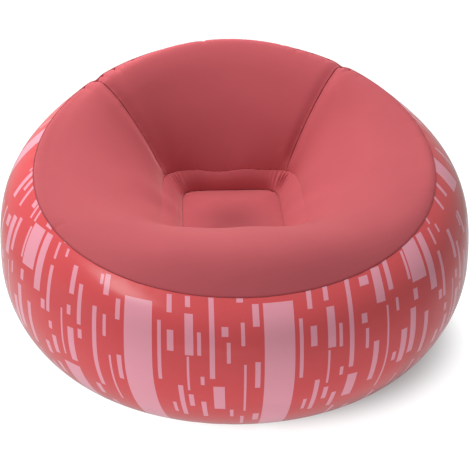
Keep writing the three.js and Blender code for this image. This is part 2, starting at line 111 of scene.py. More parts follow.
# %% [markdown]
# ## Points on the welds
# Each weld runs round the chair as a ring. Seen from above, the welds of the base and the rim are
# round, and the two at the seat are rectangles with round corners. A superellipse draws those with
# one number for how square they are. The rings aren't perfect: the rim dips where a seam ends, and
# the skins pull the well's edge into slow waves.

# %% Points on the welds
UP = np.array([0.0, 0.0, 1.0])
NOTCH_DEPTH = 0.005
NOTCH_REACH = 0.014
WELL_WAVE = 0.0022
# Each slow wave: how many go round, where it starts, and its share of the height.
WELL_WAVES = ((7, 40, 1.0), (11, 0, 0.6))


def outwards(azimuth):
    angle = math.radians(azimuth)
    return np.array([math.sin(angle), -math.cos(angle), 0.0])


def sideways(azimuths):
    """The level directions along a ring, square to outwards."""
    return np.array([outwards(a + 90) for a in azimuths])


def ring_point(azimuth, radius, height, centre=0.0):
    return outwards(azimuth) * radius + np.array([0.0, centre, height])


def rounded_point(azimuth, half, squareness, height):
    """A point on a rounded rectangle about the middle of the well."""
    out = np.abs(outwards(azimuth))
    radius = ((out[0] / half[0]) ** squareness + (out[1] / half[1]) ** squareness) ** (-1 / squareness)
    return ring_point(azimuth, radius, height, WELL_CENTRE)


def turn_from(azimuth, middle):
    """The turn from one azimuth to another, from -180 to 180."""
    return (azimuth - middle + 180) % 360 - 180


def rim_point(azimuth):
    """The rim dips a little where it meets a seam, because three sheets are welded there."""
    gap = min(abs(turn_from(azimuth, seam)) for seam in (RIGHT_SEAM, LEFT_SEAM))
    dip = NOTCH_DEPTH * math.exp(-(math.radians(gap) * RIM_RADIUS.back / NOTCH_REACH) ** 2)
    return ring_point(azimuth, around(RIM_RADIUS, azimuth), around(RIM_HEIGHT, azimuth) - dip)


def well_point(azimuth):
    wave = sum(share * math.sin(math.radians(count * azimuth + start))
               for count, start, share in WELL_WAVES)
    return rounded_point(azimuth, WELL_HALF, WELL_SQUARENESS, WELL_HEIGHT + WELL_WAVE * wave)


print("well edge at the back:", well_point(BACK).round(4))

# %% [markdown]
# ## The section of the chair
# Cut the chair with an upright plane through its middle and the sheets show as curves: the wall
# bulges from the floor to the rim weld, the top rolls over the crest and drops into the well, and a
# short band leads on to the seat. Bezier curves draw such full, tight shapes with few numbers,
# because their handles are the slopes that a welder would measure at each seam.

# %% Curves
CURVE_STEPS = 90
ROUND_STEPS = 12


def bezier(a, b, c, d):
    t = np.linspace(0, 1, CURVE_STEPS)[:, None]
    return (1 - t) ** 3 * a + 3 * (1 - t) ** 2 * t * b + 3 * (1 - t) * t ** 2 * c + t ** 3 * d


def lengths(path):
    """The length of a path up to each of its points."""
    steps = np.linalg.norm(np.diff(path, axis=0), axis=1)
    return np.concatenate([[0.0], np.cumsum(steps)])


def walk(path, distances):
    """The points at these distances along a path."""
    run = lengths(path)
    return np.stack([np.interp(distances, run, path[:, axis]) for axis in range(3)], axis=1)


def rounded_path(path, reach):
    """A skin blown up by air holds no sharp crest: each point is the mean of the run about it."""
    run = lengths(path)
    room = reach * np.tanh(np.minimum(run, run[-1] - run) / reach)
    shares = (2 * np.arange(ROUND_STEPS) + 1) / ROUND_STEPS - 1
    return np.mean([walk(path, run + room * share) for share in shares], axis=0)


# %% [markdown]
# ### One section for each sheet
# A section starts and ends on a weld, and the next sheet's section starts at that same point. The
# seat's section runs to its middle, where the crown is highest. A soft dip lies in front of it,
# where people sit.

# %% Sections of the sheets
def crossing(azimuth, slope):
    """The way in which the skin crosses the rim: inwards and up."""
    angle = math.radians(around(slope, azimuth))
    return UP * math.sin(angle) - outwards(azimuth) * math.cos(angle)


def wall_section(azimuth):
    foot = ring_point(azimuth, FOOT_RADIUS, 0)
    floor_corner = ring_point(azimuth, BELLY_RADIUS, 0)
    belly = ring_point(azimuth, BELLY_RADIUS, around(BELLY_HEIGHT, azimuth))
    rim = rim_point(azimuth)
    low = bezier(foot, foot + (floor_corner - foot) * around(FOOT_HANDLE_SHARES, azimuth),
                 belly + (floor_corner - belly) * around(BELLY_LOW_SHARES, azimuth), belly)
    span = np.linalg.norm(rim - belly)
    below_rim = rim - crossing(azimuth, WALL_SLOPE) * around(WALL_HANDLE_SHARES, azimuth) * span
    high = bezier(belly, belly + UP * BELLY_HANDLE_SHARE * span, below_rim, rim)
    return np.vstack([low[:-1], high])


def wall_above_weld(azimuth):
    path = wall_section(azimuth)
    return walk(path, np.linspace(BASE_WELD_RUN, lengths(path)[-1], CURVE_STEPS))


def top_section(azimuth):
    rim = rim_point(azimuth)
    crest = ring_point(azimuth, around(CREST_RADIUS, azimuth), around(CREST_HEIGHT, azimuth))
    well = well_point(azimuth)
    reach = ROLL_HANDLE_SHARE * np.linalg.norm(crest - rim)
    roll = bezier(rim, rim + crossing(azimuth, ROLL_SLOPE) * reach,
                  crest + outwards(azimuth) * reach, crest)
    fall = well - crest
    level = fall * (1 - UP)
    lift = UP * (-fall[2] * around(INNER_DROP_SHARES, azimuth))
    inner = bezier(crest, crest + level * around(INNER_CREST_SHARES, azimuth),
                   well - level * around(INNER_LEAN_SHARES, azimuth) + lift, well)
    return rounded_path(np.vstack([roll[:-1], inner]), around(CREST_ROUND, azimuth))


def band_section(azimuth):
    well = well_point(azimuth)
    seat = rounded_point(azimuth, SEAT_HALF, SEAT_SQUARENESS, SEAT_HEIGHT)
    puffed = (well + seat) / 2 + (UP - outwards(azimuth)) * BAND_PUFF
    return bezier(well, well + (puffed - well) * 2 / 3, seat + (puffed - seat) * 2 / 3, seat)


def seat_section(azimuth):
    edge = rounded_point(azimuth, SEAT_HALF, SEAT_SQUARENESS, SEAT_HEIGHT)
    middle = np.array([0.0, WELL_CENTRE, SEAT_HEIGHT])
    share = np.linspace(0, 1, CURVE_STEPS)[:, None]
    level = edge + (middle - edge) * share
    from_dip = np.linalg.norm(level[:, :2] - (0, DIP_CENTRE), axis=1)[:, None]
    dip = SEAT_DIP * np.exp(-(from_dip / DIP_REACH) ** 2)
    return level + UP * (SEAT_CROWN * (1 - (1 - share) ** CROWN_FULLNESS) - dip)


def base_section(azimuth):
    """From the middle of the floor side out to the base weld."""
    foot = ring_point(azimuth, FOOT_RADIUS, 0)
    flat = foot * np.linspace(0, 1, CURVE_STEPS)[:, None]
    turn_up = walk(wall_section(azimuth), np.linspace(0, BASE_WELD_RUN, CURVE_STEPS))
    return np.vstack([flat[:-1], turn_up])


for title, section in (("wall", wall_section), ("top", top_section), ("band", band_section)):
    print(title, "section, front and back:", [round(float(lengths(section(a))[-1]), 3) for a in (0, BACK)])

# %% [markdown]
# ## Bending a grid into a sheet
# Each sheet starts as a flat bmesh grid, like the cloth on a cutting table, and its vertices are
# then carried to their places on the section curves. A UV map is laid on the flat grid, so a print
# stays printed on the sheet. Rows crowd together beside the welds, where the skin turns over
# sharply.

# %% Grid helpers
EDGE_ROWS = np.array([0.0, 0.0007, 0.0016, 0.0028, 0.0044, 0.0064, 0.009, 0.0125, 0.017, 0.0225, 0.029])
EDGE_SHARE = 0.42
SMALLEST = 1e-12
WELD_DOUBLES = 2e-6


def unit(vectors):
    return vectors / np.linalg.norm(vectors, axis=-1, keepdims=True)


def rows_along(length, middle_rows, start, end):
    """Distances along a section, close together beside its welds.

    Start and end are the gaps to the welds, and None stands for an end that has no weld.
    """
    edge = EDGE_ROWS * min(1, EDGE_SHARE * (length - (start or 0) - (end or 0)) / EDGE_ROWS[-1])
    low = np.zeros(1) if start is None else start + edge
    high = np.full(1, length) if end is None else length - end - edge[::-1]
    return np.concatenate([low, np.linspace(low[-1], high[0], middle_rows + 2)[1:-1], high])


def lay_out(section, azimuths, middle_rows, start, end):
    """A grid of places, columns first, and how far each lies from both ends of its section."""
    places, from_start, to_end = [], [], []
    for azimuth in azimuths:
        path = section(azimuth)
        length = lengths(path)[-1]
        distances = rows_along(length, middle_rows, start, end)
        places.append(walk(path, distances))
        from_start.append(distances)
        to_end.append(length - distances)
    return np.array(places), np.array(from_start), np.array(to_end)


def press_in(places, depth, looped=False):
    """Moves a grid of places inwards along its normals. A looped grid closes on its first column."""
    if looped:
        turn = np.roll(places, -1, axis=0) - np.roll(places, 1, axis=0)
    else:
        turn = np.gradient(places, axis=0)
    normals = np.cross(turn, np.gradient(places, axis=1))
    size = np.linalg.norm(normals, axis=2, keepdims=True)
    return places - normals / np.maximum(size, SMALLEST) * depth[..., None]


def finish_mesh(name, bm):
    """Turns a bmesh into an object at the origin, smooth shaded."""
    mesh = bpy.data.meshes.new(name)
    bm.to_mesh(mesh)
    bm.free()
    mesh.shade_smooth()
    piece = bpy.data.objects.new(name, mesh)
    bpy.context.scene.collection.objects.link(piece)
    print(f"{name}: {len(mesh.vertices)} vertices, {len(mesh.polygons)} faces")
    return piece


def bent_grid(name, places, uv=None, wrap_columns=False, wrap_rows=False, hole=None):
    """A mesh object from a flat grid whose vertices are moved to places[column][row]."""
    if wrap_columns:
        places = np.concatenate([places, places[:1]], axis=0)
    if wrap_rows:
        places = np.concatenate([places, places[:, :1]], axis=1)
    columns, rows = places.shape[0] - 1, places.shape[1] - 1
    bm = bmesh.new()
    bmesh.ops.create_grid(bm, x_segments=columns, y_segments=rows, size=1, calc_uvs=False)
    layer = bm.loops.layers.uv.new("print") if uv is not None else None
    spots = {v: (round((v.co.x + 1) / 2 * columns), round((v.co.y + 1) / 2 * rows)) for v in bm.verts}
    if layer is not None:
        for face in bm.faces:
            for loop in face.loops:
                loop[layer].uv = uv[spots[loop.vert]]
    for vert, spot in spots.items():
        vert.co = places[spot]
    if hole is not None:
        first, last, bottom, top = hole
        inside = {v for v, (c, r) in spots.items() if first <= c <= last and bottom <= r <= top}
        cut = [f for f in bm.faces if all(v in inside for v in f.verts)]
        bmesh.ops.delete(bm, geom=cut, context="FACES")
    bmesh.ops.remove_doubles(bm, verts=bm.verts, dist=WELD_DOUBLES)
    return finish_mesh(name, bm)


print("rows beside a weld:", len(EDGE_ROWS), "within", EDGE_ROWS[-1], "m")

# %% [markdown]
# ## How a blown-up sheet meets a weld
# At a weld two sheets are pressed flat together, and the air pushes each of them out beside it. So
# the skin turns over in a small round shoulder and dives into the seam. The cut edge is also a
# little too long for the rounded shape, and takes up its spare length in puckers that die away
# within a few centimetres. A sum of sines with drifting phase gives puckers of uneven spacing, and
# the same ones on every run.

# %% Shoulders and puckers
SEAM_GAP = 0.0007
FLOCK_GAP = 0.0002
RIM_SHOULDER = 0.0012
WELL_SHOULDER = 0.0004
SEAT_SHOULDER = 0.0009
BACK_SHOULDER = 0.0016

Pucker = namedtuple("Pucker", "wavelength depth reach sharpness", defaults=(2,))
# Each slow drift: its size, how many puckers long it is, and its part of the seed.
PHASE_DRIFTS = ((1.4, 3.7, 1.0), (0.9, 6.1, 2.3))
STRENGTH_DRIFT = (0.38, 5.3, 1.7)
FINE_TIMES = 2.6
FINE_SHARE = 0.35
FINE_SEED = 4


def fading(distance, reach):
    return np.exp(-(distance / reach) ** 2)


def shoulder_drop(distance, radius):
    """How deep the skin lies under the full surface at this distance from its weld."""
    inside = np.clip(radius - distance, 0, radius)
    return radius - np.sqrt(radius ** 2 - inside ** 2)


def uneven_wave(run, wavelength, seed):
    """A wave along a seam whose spacing and strength drift, from -1 to 1."""
    turn = 2 * math.pi / wavelength * run
    drift = sum(size * np.sin(turn / waves + part * seed) for size, waves, part in PHASE_DRIFTS)
    size, waves, part = STRENGTH_DRIFT
    strength = 1 - size + size * np.sin(turn / waves + part * seed)
    return strength * np.sin(turn + drift)


def puckers(run, distance, pucker, seed):
    """Narrow dips across a seam, deepest close to it."""
    wave = uneven_wave(run, pucker.wavelength, seed)
    fine = uneven_wave(run, pucker.wavelength / FINE_TIMES, seed + FINE_SEED)
    dip = np.maximum(wave + FINE_SHARE * fine, 0) ** pucker.sharpness
    return pucker.depth * dip * fading(distance, pucker.reach)


print("drop 1 mm from the rim weld:", round(float(shoulder_drop(0.001, RIM_SHOULDER)), 4))

# %% [markdown]
# ## The flocked top
# The arms and the front roll are one sheet, and the back rest is another between two steep welds.
# Both are made the same way: walk along the section at many azimuths, press the four edges down
# into their welds, and add the puckers that the photograph shows along the rim. The two sheets
# stand high on both sides of a steep weld, so it lies in a valley, and low on the back they touch
# over it.

# %% Columns between two seams
BACK_POWER = 1.5


def seam_columns(start, stop, step, radius):
    """Azimuths from seam to seam, close together beside both."""
    edge = np.degrees((EDGE_ROWS + SEAM_GAP) / radius)
    low = start + edge
    high = stop - edge[::-1]
    count = int((high[0] - low[-1]) / step)
    return np.concatenate([low, np.linspace(low[-1], high[0], count + 2)[1:-1], high])


def turn_to_seam(azimuths, seams):
    """The turn in radians from each azimuth to the nearer of two upright seams."""
    gaps = [np.abs(azimuths - seam) for seam in seams]
    return np.radians(np.minimum(*gaps))[:, None]


def towards_back(azimuths, least):
    """The rim's spare length gathers at the back, and this share of it is left at the front."""
    back_share = np.clip((1 - np.cos(np.radians(azimuths))) / 2, 0, 1)[:, None]
    return least + (1 - least) * back_share ** BACK_POWER


# %% [markdown]
# ### A panel of the top
# One function makes both sheets, so their welds, valleys and corners match.

# %% Build a panel of the top
TOP_STEP = 0.74
TOP_ROWS = 70
VALLEY_DEPTH = 0.007
VALLEY_REACH = 0.018
VALLEY_FADE = 0.030
SEAM_CALM = 0.022
CORNER_DEPTH = 0.004
CORNER_REACH = 0.010
ARM_RIM_PUCKER = Pucker(0.050, 0.0032, 0.026, 4)
BACK_RIM_PUCKER = Pucker(0.050, 0.0044, 0.026, 4)
WELL_PUCKER = Pucker(0.030, 0.0012, 0.012)
STEEP_PUCKER = Pucker(0.038, 0.0012, 0.014)
TOP_LEAST = 0.10


def seam_closing(azimuths, beside, calm):
    """Low on the back the two skins touch over the weld, so the seam closes and fades out there."""
    middle = (azimuths[0] + azimuths[-1]) / 2
    onwards = sideways(azimuths) * np.where(azimuths > middle, 1, -1)[:, None]
    return onwards[:, None] * (SEAM_GAP * calm * fading(beside - SEAM_GAP, 2 * SEAM_GAP))[..., None]


def away_from_ends(from_rim, from_well):
    """A steep weld has its valley along its middle, and it fades out at both ends."""
    return (1 - fading(from_rim, VALLEY_FADE)) * (1 - fading(from_well, VALLEY_FADE))


def top_panel(name, start, stop, rim_pucker, seed):
    azimuths = seam_columns(start, stop, TOP_STEP, around(CREST_RADIUS, BACK))
    places, from_rim, from_well = lay_out(top_section, azimuths, TOP_ROWS, SEAM_GAP, FLOCK_GAP)
    run = np.radians(azimuths)[:, None] * around(RIM_RADIUS, BACK)
    beside = turn_to_seam(azimuths, (start, stop)) * np.linalg.norm(places[..., :2], axis=2)
    calm = fading(from_well, SEAM_CALM)
    depth = shoulder_drop(from_rim - SEAM_GAP, RIM_SHOULDER)
    depth += shoulder_drop(from_well - FLOCK_GAP, WELL_SHOULDER)
    depth += puckers(run, from_rim, rim_pucker, seed) * towards_back(azimuths, TOP_LEAST)
    depth += puckers(run, from_well, WELL_PUCKER, seed + 1)
    depth += shoulder_drop(beside - SEAM_GAP, BACK_SHOULDER) * (1 - calm)
    depth += VALLEY_DEPTH * fading(beside, VALLEY_REACH) * away_from_ends(from_rim, from_well)
    depth += CORNER_DEPTH * fading(beside, CORNER_REACH) * fading(from_rim, CORNER_REACH)
    depth += puckers(from_rim, beside, STEEP_PUCKER, seed + 2)
    return bent_grid(name, press_in(places + seam_closing(azimuths, beside, calm), depth))


arms_skin = top_panel("arms_and_front_roll", LEFT_SEAM - 360, RIGHT_SEAM, ARM_RIM_PUCKER, seed=0.4)
back_skin = top_panel("back_rest", RIGHT_SEAM, LEFT_SEAM, BACK_RIM_PUCKER, seed=2.1)

# %% [markdown]
# ## The well: band and seat
# The band is a short sheet between the well weld and the seat weld. Its spare length gathers at
# the corners, where it shows as a fan of folds that run across the band, and two soft folds follow
# it along the left side. The seat is a small cushion held down all round by its weld and by the ties
# under it, and its weld draws the flock into puckers.

# %% Folds of the band and the seat
CORNER_TURN = 40.0
# Where each fan stands round the band, and how strong it is.
FANS = ((CORNER_TURN, 0.5), (-CORNER_TURN, 0.5), (BACK - CORNER_TURN, 1.0), (BACK + CORNER_TURN, 1.1))
FAN_FOLD = 2.6
FAN_SPREAD = 5.5
FAN_DEPTH = 0.0032
FAN_DRIFT = 0.9
FAN_DRIFT_RATE = 0.7
FAN_LEAN = 0.8
# Where each long fold lies across the band, half its width, and its share of the depth.
LONG_FOLDS = ((0.42, 0.10, 1.0), (0.72, 0.08, 0.7))
LONG_DEPTH = 0.0018
LONG_MIDDLE = 272
LONG_REACH = 28
BAND_PUCKER = Pucker(0.027, 0.0010, 0.010)
SEAT_PUCKER = Pucker(0.021, 0.0035, 0.016)
SEAT_CORNER_REACH = 12
SEAT_SIDE_LEAST = 0.25


def corner_fans(azimuths, share):
    """Folds that run across the band, gathered at its corners, deepest under the well weld."""
    fans = np.zeros(share.shape)
    for middle, strength in FANS:
        off = turn_from(azimuths, middle)
        drift = FAN_DRIFT * np.sin(off * FAN_DRIFT_RATE)
        fold = np.cos(2 * math.pi * off / FAN_FOLD + drift) * fading(off, FAN_SPREAD)
        fans += strength * fold[:, None] * np.sin(math.pi * np.clip(share, 0, 1) ** FAN_LEAN)
    return fans * FAN_DEPTH


def long_folds(azimuths, share):
    """Two soft folds that follow the band along its left side."""
    across = sum(part * fading(share - place, half) for place, half, part in LONG_FOLDS)
    return LONG_DEPTH * fading(azimuths - LONG_MIDDLE, LONG_REACH)[:, None] * across


def band_folds(azimuths, from_weld, share):
    run = np.radians(azimuths)[:, None] * SEAT_HALF[1]
    folds = corner_fans(azimuths, share) + long_folds(azimuths, share)
    return folds + puckers(run, from_weld, BAND_PUCKER, seed=3.3)


def seat_folds(azimuths, from_weld, share):
    """Puckers all round, strongest at the corners."""
    run = np.radians(azimuths)[:, None] * SEAT_HALF[1]
    corner = math.degrees(math.atan2(*SEAT_HALF))
    off = (np.abs((azimuths + 90) % 180 - 90) - corner)[:, None]
    strength = SEAT_SIDE_LEAST + (1 - SEAT_SIDE_LEAST) * fading(off, SEAT_CORNER_REACH)
    return puckers(run, from_weld, SEAT_PUCKER, seed=5.2) * strength


# %% [markdown]
# ### Sheets that run right round
# Band and seat are rings: their last column is welded to their first. Both corners at the back get
# closer columns, because the folds there are only a few millimetres wide.

# %% Band and seat
RING_STEP = 1.0
FINE_STEP = 0.3
FINE_REACH = 12
BAND_ROWS = 14
SEAT_ROWS = 24


def ring_azimuths():
    fine = [np.arange(corner - FINE_REACH, corner + FINE_REACH, FINE_STEP)
            for corner in (BACK - CORNER_TURN, BACK + CORNER_TURN)]
    return np.unique(np.round(np.concatenate([np.arange(0, 360, RING_STEP), *fine]), 3))


def ring_sheet(name, section, middle_rows, inner_gap, shoulders, folds):
    azimuths = ring_azimuths()
    places, from_weld, to_end = lay_out(section, azimuths, middle_rows, FLOCK_GAP, inner_gap)
    depth = shoulder_drop(from_weld - FLOCK_GAP, shoulders[0])
    depth += shoulder_drop(to_end - FLOCK_GAP, shoulders[1])
    depth += folds(azimuths, from_weld, from_weld / (from_weld + to_end))
    return bent_grid(name, press_in(places, depth, looped=True), wrap_columns=True)


band_skin = ring_sheet("well_band", band_section, BAND_ROWS, FLOCK_GAP,
                       (WELL_SHOULDER, SEAT_SHOULDER), band_folds)
seat_skin = ring_sheet("seat_cushion", seat_section, SEAT_ROWS, None, (SEAT_SHOULDER, 0), seat_folds)

# %% [markdown]
# ## The opening for the valve
# The valve comes out through a round hole low on the back of the wall. A hole is made in a grid by
# drawing a block of it to a circle and taking out the faces inside. The moved places are put back
# on the wall by a cubic surface fitted to it there, because a plain move in a plane would leave
# them off its curve. The valve's flange is welded inside the wall, and lifts it into a low round pad.

# %% Open a round hole
HOLE_RADIUS = 0.0175
HOLE_HALF = 3
HOLE_CALM_RINGS = 3.0
HOLE_CALM = 0.05
FIT_REACH = 0.065
LEAST_FAR = HOLE_RADIUS / 100
FAR_SIDE = 10.0
PAD_RISE = 0.0008
PAD_EDGE = (0.034, 0.040)


def valve_axis():
    """The middle of the valve's gasket and the way it faces, which is square to the wall."""
    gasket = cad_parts["valve_gasket"]
    places = np.array([gasket.matrix_world @ v.co for v in gasket.data.vertices])
    middle = (places.min(axis=0) + places.max(axis=0)) / 2
    axis = np.linalg.svd(places - places.mean(axis=0))[2][2]
    return middle, axis if np.dot(axis[:2], middle[:2]) > 0 else -axis


def cubic_terms(a, b):
    return np.stack([a ** i * b ** j for i in range(4) for j in range(4 - i)], axis=-1)


def smooth_step(share):
    share = np.clip(share, 0, 1)
    return share * share * (3 - 2 * share)


def open_hole(places):
    """Draws a block of the grid to a round edge about the valve, and names the block."""
    middle, axis = valve_axis()
    along = unit(np.cross(UP, axis))
    upward = np.cross(axis, along)
    off = places - middle
    a, b, height = off @ along, off @ upward, off @ axis
    this_side = height > -HOLE_CALM
    far = np.where(this_side, np.hypot(a, b), FAR_SIDE)
    column, row = np.unravel_index(np.argmin(far), far.shape)
    columns, rows = np.indices(far.shape)
    square = np.maximum(np.abs(columns - column), np.abs(rows - row)) / HOLE_HALF
    pull = smooth_step((HOLE_CALM_RINGS - square) / (HOLE_CALM_RINGS - 1))
    spread = 1 + pull * (np.maximum(square, 1) * HOLE_RADIUS / np.maximum(far, LEAST_FAR) - 1)
    near = far < FIT_REACH
    fit = np.linalg.lstsq(cubic_terms(a[near], b[near]), height[near], rcond=None)[0]
    a, b = a * spread, b * spread
    height = np.where(square < HOLE_CALM_RINGS, cubic_terms(a, b) @ fit, height)
    pad = smooth_step((PAD_EDGE[1] - np.hypot(a, b)) / (PAD_EDGE[1] - PAD_EDGE[0]))
    height = height + PAD_RISE * pad * this_side
    moved = middle + a[..., None] * along + b[..., None] * upward + height[..., None] * axis
    return moved, (column - HOLE_HALF, column + HOLE_HALF, row - HOLE_HALF, row + HOLE_HALF)


print("valve at", valve_axis()[0].round(3))

# %% [markdown]
# ## The printed wall and the base
# The wall is one long strip, wrapped round and closed with an upright weld at the middle of the
# back. Its UV map holds real lengths in metres, how far round and how far up, so the print has one
# scale all over. The print was laid out on the flat strip and isn't level on the blown-up chair, so
# one size says how far up the print the belly line comes.

# %% Wall and base
WALL_STEP = 0.85
WALL_ROWS = 66
BASE_ROWS = 22
PRINT_TO_BELLY = Around(0.303, 0.333, 0.350)
WALL_RIM_PUCKER = Pucker(0.050, 0.0026, 0.020)
WALL_LEAST = 0.12
BASE_PUCKER = Pucker(0.060, 0.0022, 0.030)


def print_run(turn, places):
    """How far round the strip each place lies, in metres. Above the belly the strip leans back."""
    radius = np.linalg.norm(places[..., :2], axis=2)
    belly_row = np.argmax(radius, axis=1)[:, None]
    above = np.arange(places.shape[1])[None, :] > belly_row
    return BELLY_RADIUS * turn + np.where(above, (radius - BELLY_RADIUS) * np.sin(turn), 0.0)


def print_rise(azimuths, from_foot):
    """How far up the print each place lies, in metres."""
    lag = [lengths(wall_section(a))[CURVE_STEPS - 1] - around(PRINT_TO_BELLY, a) for a in azimuths]
    return from_foot - np.array(lag)[:, None]


def wall_panel(name):
    azimuths = seam_columns(BACK - 360, BACK, WALL_STEP, BELLY_RADIUS)
    low_gap = BASE_WELD_RUN + SEAM_GAP
    places, from_foot, from_rim = lay_out(wall_section, azimuths, WALL_ROWS, low_gap, SEAM_GAP)
    from_weld = from_foot - BASE_WELD_RUN
    turn = np.radians(azimuths)[:, None]
    run = turn * around(RIM_RADIUS, BACK)
    beside = turn_to_seam(azimuths, (BACK - 360, BACK)) * BELLY_RADIUS
    depth = shoulder_drop(from_weld - SEAM_GAP, RIM_SHOULDER)
    depth += shoulder_drop(from_rim - SEAM_GAP, RIM_SHOULDER)
    depth += puckers(run, from_rim, WALL_RIM_PUCKER, seed=0.4) * towards_back(azimuths, WALL_LEAST)
    depth += puckers(run, from_weld, BASE_PUCKER, seed=1.9)
    depth += shoulder_drop(beside - SEAM_GAP, RIM_SHOULDER)
    pressed = press_in(places, depth)
    opened, hole = open_hole(pressed)
    slide = opened - pressed
    across = np.sum(slide * sideways(azimuths)[:, None], axis=2)
    upwards = np.sum(slide * unit(np.gradient(pressed, axis=1)), axis=2)
    uv = np.stack([print_run(turn, places) + across, print_rise(azimuths, from_foot) + upwards], axis=2)
    return bent_grid(name, opened, uv, hole=hole)


def base_panel(name):
    grid = lay_out(base_section, np.arange(0, 360, RING_STEP), BASE_ROWS, None, SEAM_GAP)
    places, to_weld = grid[0], grid[2]
    depth = shoulder_drop(to_weld - SEAM_GAP, RIM_SHOULDER)
    return bent_grid(name, press_in(places, depth, looped=True), wrap_columns=True)


wall_skin = wall_panel("printed_wall")
base_skin = base_panel("base_sheet")

# %% [markdown]
# ## Welds
# A weld is the strip where two sheets are fused, about two millimetres thick. Most of it stands
# inside the air cell. Round the rim its edge shows as a fine dark bead, and between flocked sheets
# it lies a little under them. A small rounded profile is carried along the seam, as a pipe is drawn
# along its path.

# %% Beads
BEAD_HALF = 0.0010
BEAD_SIDES = 10
BEAD_STEP = 0.5
SEAM_STEPS = 130
SEAM_END = 0.004
WELD_DEPTH = 0.008


def close_ends(piece):
    """Fills the open ends of a bead that doesn't run right round."""
    bm = bmesh.new()
    bm.from_mesh(piece.data)
    bmesh.ops.holes_fill(bm, edges=[e for e in bm.edges if e.is_boundary], sides=0)
    bmesh.ops.recalc_face_normals(bm, faces=bm.faces)
    bm.to_mesh(piece.data)
    bm.free()
    piece.data.shade_smooth()
    return piece


def bead(name, points, normals, across, proud, looped):
    """A rounded lip along a seam, which stands this proud of it and goes down into the cell."""
    angles = np.linspace(0, math.pi, BEAD_SIDES)
    side = np.concatenate([np.cos(angles), [-1, 1]]) * BEAD_HALF
    rise = np.concatenate([np.sin(angles) * BEAD_HALF + proud - BEAD_HALF, [-WELD_DEPTH, -WELD_DEPTH]])
    places = points[:, None] + across[:, None] * side[:, None] + normals[:, None] * rise[:, None]
    return close_ends(bent_grid(name, places[:, ::-1], wrap_columns=looped, wrap_rows=True))


def ring_bead(name, before, after, proud):
    """A bead where the end of one section meets the start of the next, all round."""
    azimuths = np.arange(0, 360, BEAD_STEP)
    first = [before(a) for a in azimuths]
    second = [after(a) for a in azimuths]
    points = np.array([path[-1] for path in first])
    across = unit(np.array([b[1] - a[-2] for a, b in zip(first, second)]))
    normals = unit(np.cross(sideways(azimuths), across))
    return bead(name, points, normals, across, proud, looped=True)


def seam_bead(name, section, azimuth, proud, valley=0.0):
    """A bead up a seam that follows one section, from weld to weld."""
    path = section(azimuth)
    length = lengths(path)[-1]
    run = np.linspace(SEAM_END, length - SEAM_END, SEAM_STEPS)
    points = walk(path, run)
    rise = unit(np.gradient(points, axis=0))
    across = walk(section(azimuth - BEAD_STEP), run) - points
    across = unit(across - rise * np.sum(across * rise, axis=1, keepdims=True))
    normals = unit(np.cross(rise, across))
    sunk = valley * away_from_ends(run, length - run)
    return bead(name, points - normals * sunk[:, None], normals, across, proud, looped=False)


rim_bead = ring_bead("rim_bead", wall_section, top_section, proud=0.0011)
base_bead = ring_bead("base_bead", base_section, wall_above_weld, proud=0.0004)
well_bead = ring_bead("well_bead", top_section, band_section, proud=-0.0005)
seat_bead = ring_bead("seat_bead", band_section, seat_section, proud=-0.0011)
left_bead = seam_bead("back_bead_left", top_section, LEFT_SEAM, proud=-0.0014, valley=VALLEY_DEPTH)
right_bead = seam_bead("back_bead_right", top_section, RIGHT_SEAM, proud=-0.0014, valley=VALLEY_DEPTH)
join_bead = seam_bead("wall_join_bead", wall_above_weld, BACK, proud=0.0004)

# %% [markdown]
# ## Materials
# Two finishes carry the chair. Flock is a fur of very short fibres: it scatters light, brightens
# at grazing angles and shows faint patches where the nap lies another way. The gloss PVC is a
# smooth film under a clear face, so it mirrors the room. Small helpers come first, so that each
# finish below reads as a list of what it is made of.

# %% Node helpers
def feed(tree, socket, value):
    """Links a socket to another one, or gives it a plain value."""
    if isinstance(value, bpy.types.NodeSocket):
        tree.links.new(value, socket)
    else:
        socket.default_value = value


def new_node(tree, kind, inputs, **settings):
    """A shader node of a kind, with its settings made before its inputs are fed."""
    node = tree.nodes.new("ShaderNode" + kind)
    for name, value in settings.items():
        setattr(node, name, value)
    for name, value in inputs.items():
        feed(tree, node.inputs[name], value)
    return node


def maths(tree, operation, *values, clamp=False):
    """A Math node fed by sockets or plain numbers."""
    node = new_node(tree, "Math", {}, operation=operation, use_clamp=clamp)
    for socket, value in zip(node.inputs, values):
        feed(tree, socket, value)
    return node.outputs[0]


def blend_colours(tree, factor, low, high):
    """Mixes two colours by a factor. Each of the three is a socket or a plain value."""
    mix = new_node(tree, "Mix", {"Factor": factor, "A": low, "B": high}, data_type="RGBA")
    return mix.outputs["Result"]


def fade_from(tree, place, centre, reach, near, far):
    """A value that goes smoothly from near to far with the distance from a centre."""
    away = new_node(tree, "VectorMath", {0: place, 1: centre}, operation="DISTANCE")
    edge = new_node(tree, "MapRange", {
        "Value": away.outputs["Value"], "From Min": reach[0], "From Max": reach[1],
        "To Min": near, "To Max": far}, interpolation_type="SMOOTHSTEP")
    return edge.outputs["Result"]


def linear(red, green, blue):
    """A colour as read from a screen, 0 to 255, as the numbers that light works in."""
    return tuple((c / 255 / 12.92 if c < 10.3 else ((c / 255 + 0.055) / 1.055) ** 2.4)
                 for c in (red, green, blue)) + (1.0,)


print("mid grey works as", round(linear(128, 128, 128)[0], 3))

# %% [markdown]
# ### Two shared effects
# Fine bumps and broad soft patches come back in nearly every finish, each at its own scale. Each is
# a node group, so it is built once and shows as one box wherever it is used.

